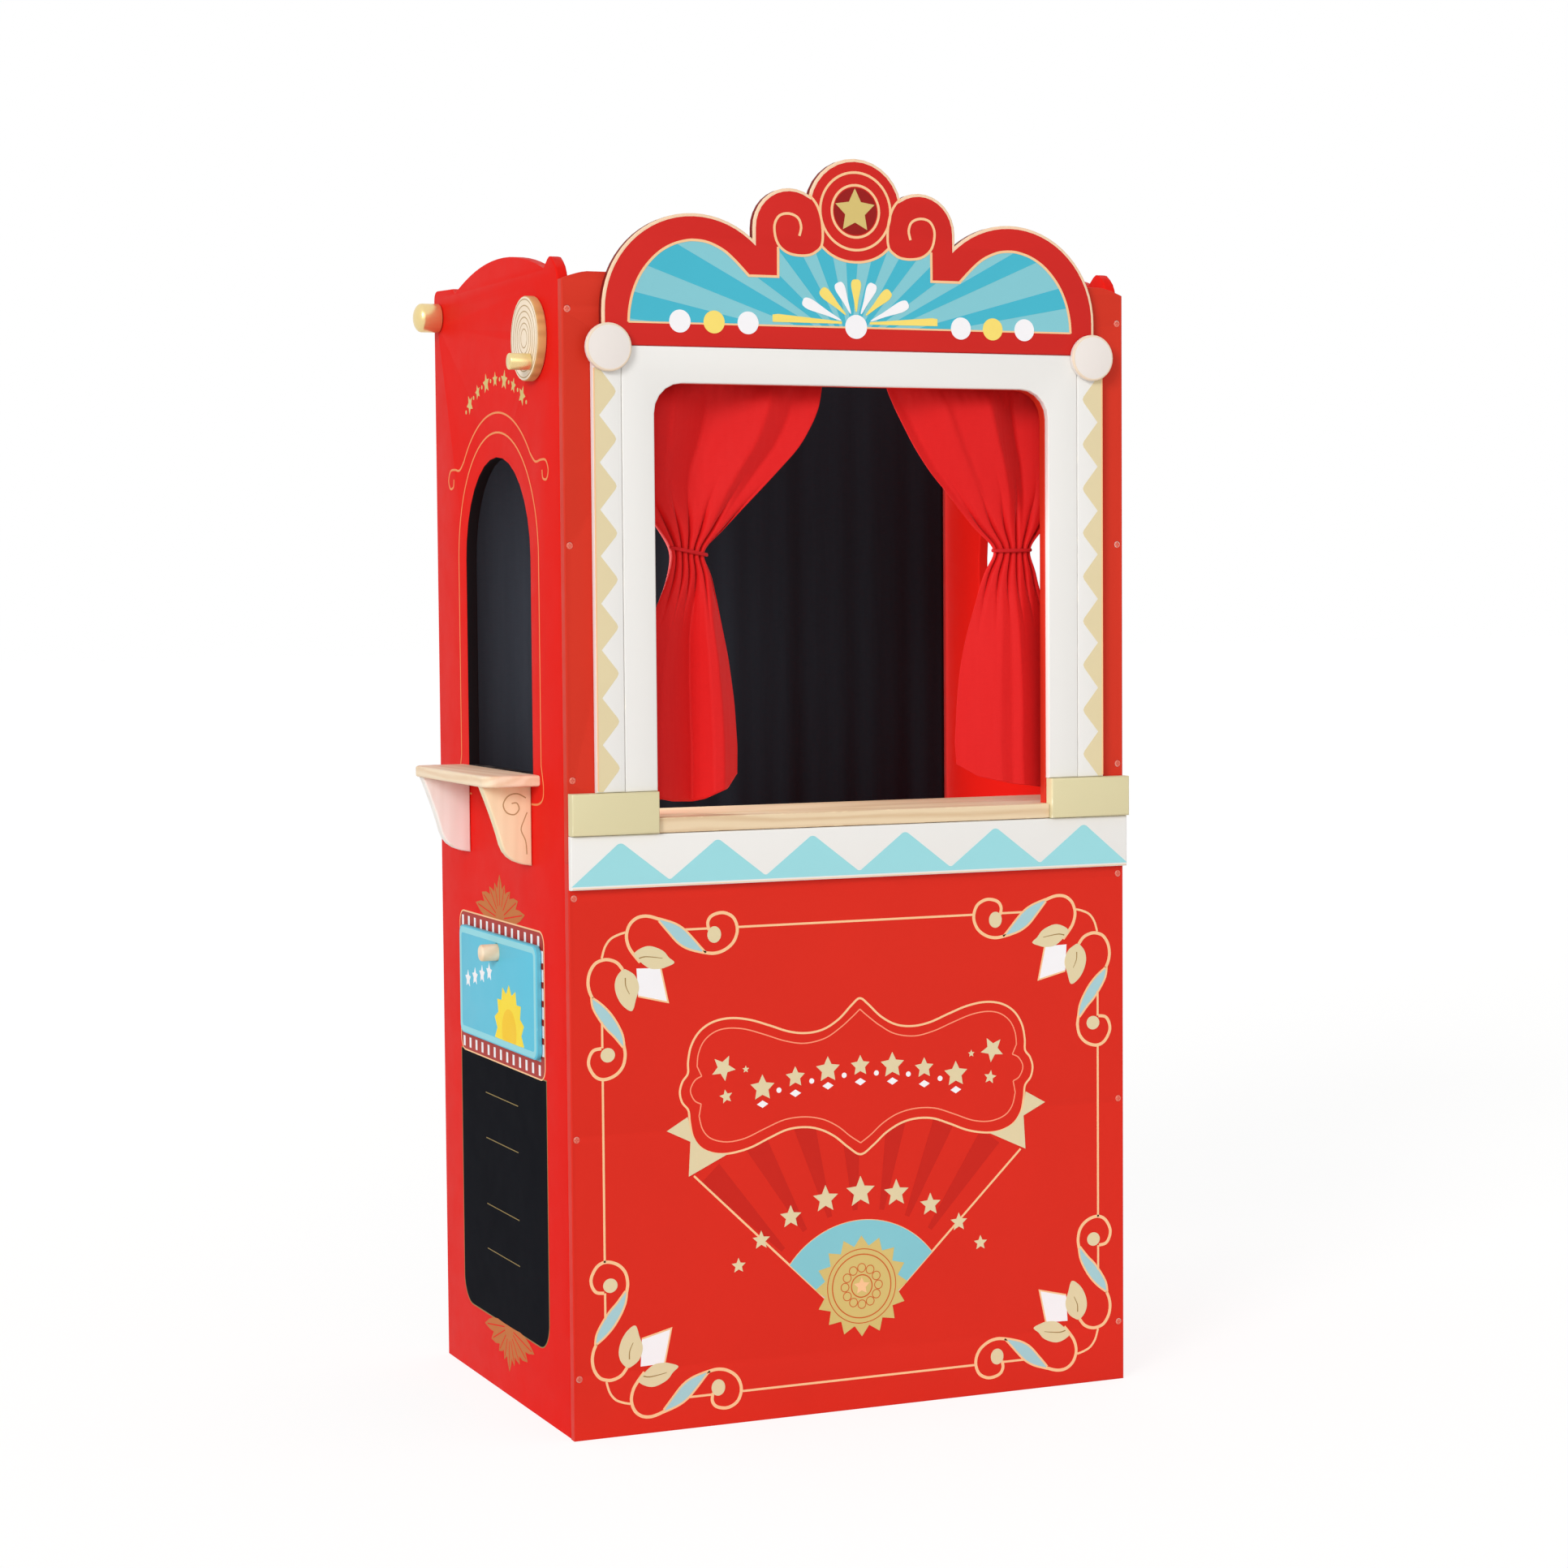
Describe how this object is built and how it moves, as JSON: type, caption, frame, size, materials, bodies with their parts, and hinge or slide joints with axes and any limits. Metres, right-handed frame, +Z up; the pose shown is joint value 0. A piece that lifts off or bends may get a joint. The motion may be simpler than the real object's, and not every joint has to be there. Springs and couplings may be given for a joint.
{
  "type": "puppet theater stand",
  "caption": "Free-standing red wooden puppet theatre with a framed stage opening, tied-back red curtains, a scalloped crest, arched side windows, a ticket shelf and a wooden crank.",
  "frame": {"origin": "on the floor, at the middle of the carcass across and from front to back, on the underside of the base board", "axes": "+X to the audience's right, +Y away from the audience, +Z up"},
  "size_m": [0.7299, 0.4466, 1.3145],
  "materials": {
    "painted_panel_red": "red satin paint on a 12 mm wooden board, with printed line work",
    "painted_white": "white satin paint on wood",
    "painted_khaki": "khaki satin paint on wood",
    "painted_blue": "light blue print on a thin wooden board",
    "natural_wood": "pale birch with a clear matt lacquer",
    "gold_paint": "gold metallic paint on turned wood",
    "red_cloth": "woven red curtain cloth",
    "black_cloth": "woven black backdrop cloth",
    "screw_metal": "small countersunk screws, painted over"
  },
  "bodies": {
    "carcass": {"left_side_panel": "painted_panel_red", "right_side_panel": "painted_panel_red", "lower_front_board": "painted_panel_red", "upper_front_board": "painted_panel_red", "stage_frame": "painted_white", "left_pilaster": "painted_khaki", "right_pilaster": "painted_khaki", "left_plinth_block": "painted_khaki", "right_plinth_block": "painted_khaki", "left_corner_disc": "painted_white", "right_corner_disc": "painted_white", "zigzag_fascia": "painted_white", "crest_board": "painted_panel_red", "stage_sill": "natural_wood", "storage_shelf": "natural_wood", "base_board": "natural_wood", "ticket_shelf": "natural_wood", "front_ticket_bracket": "natural_wood", "rear_ticket_bracket": "natural_wood", "curtain_rod": "natural_wood", "left_rod_cup": "natural_wood", "right_rod_cup": "natural_wood", "backdrop_cloth": "black_cloth", "picture_peg": "natural_wood", "left_panel_screw_1": "screw_metal", "left_panel_screw_2": "screw_metal", "left_panel_screw_3": "screw_metal", "left_panel_screw_4": "screw_metal", "left_panel_screw_5": "screw_metal", "left_panel_screw_6": "screw_metal", "right_panel_screw_1": "screw_metal", "right_panel_screw_2": "screw_metal", "right_panel_screw_3": "screw_metal", "right_panel_screw_4": "screw_metal", "right_panel_screw_5": "screw_metal", "right_panel_screw_6": "screw_metal"},
    "crank": {"crank_disc": "natural_wood", "crank_peg": "gold_paint", "crank_axle": "natural_wood", "crank_cap": "natural_wood"},
    "backdrop_roller": {"backdrop_rod": "natural_wood", "left_rod_knob": "gold_paint", "right_rod_knob": "gold_paint"},
    "hung_picture": {"picture_board": "painted_blue"},
    "left_drape": {"left_curtain": "red_cloth", "left_tieback": "red_cloth"},
    "right_drape": {"right_curtain": "red_cloth", "right_tieback": "red_cloth"}
  },
  "joints": [
    {"name": "crank_turn", "type": "hinge", "parent": "carcass", "child": "crank", "pos_m": [-0.32, -0.128, 1.129], "axis": [1, 0, 0], "continuous": true},
    {"name": "backdrop_rod_turn", "type": "hinge", "parent": "carcass", "child": "backdrop_roller", "pos_m": [0, 0.195, 1.175], "axis": [1, 0, 0], "continuous": true},
    {"name": "picture_swing", "type": "hinge", "parent": "carcass", "child": "hung_picture", "pos_m": [-0.324, 0, 0.483], "axis": [1, 0, 0], "range_deg": [-60, 60]},
    {"name": "left_curtain_slide", "type": "slide", "parent": "carcass", "child": "left_drape", "axis": [1, 0, 0], "range_m": [-0.04, 0.035]},
    {"name": "right_curtain_slide", "type": "slide", "parent": "carcass", "child": "right_drape", "axis": [1, 0, 0], "range_m": [-0.035, 0.012]}
  ]
}
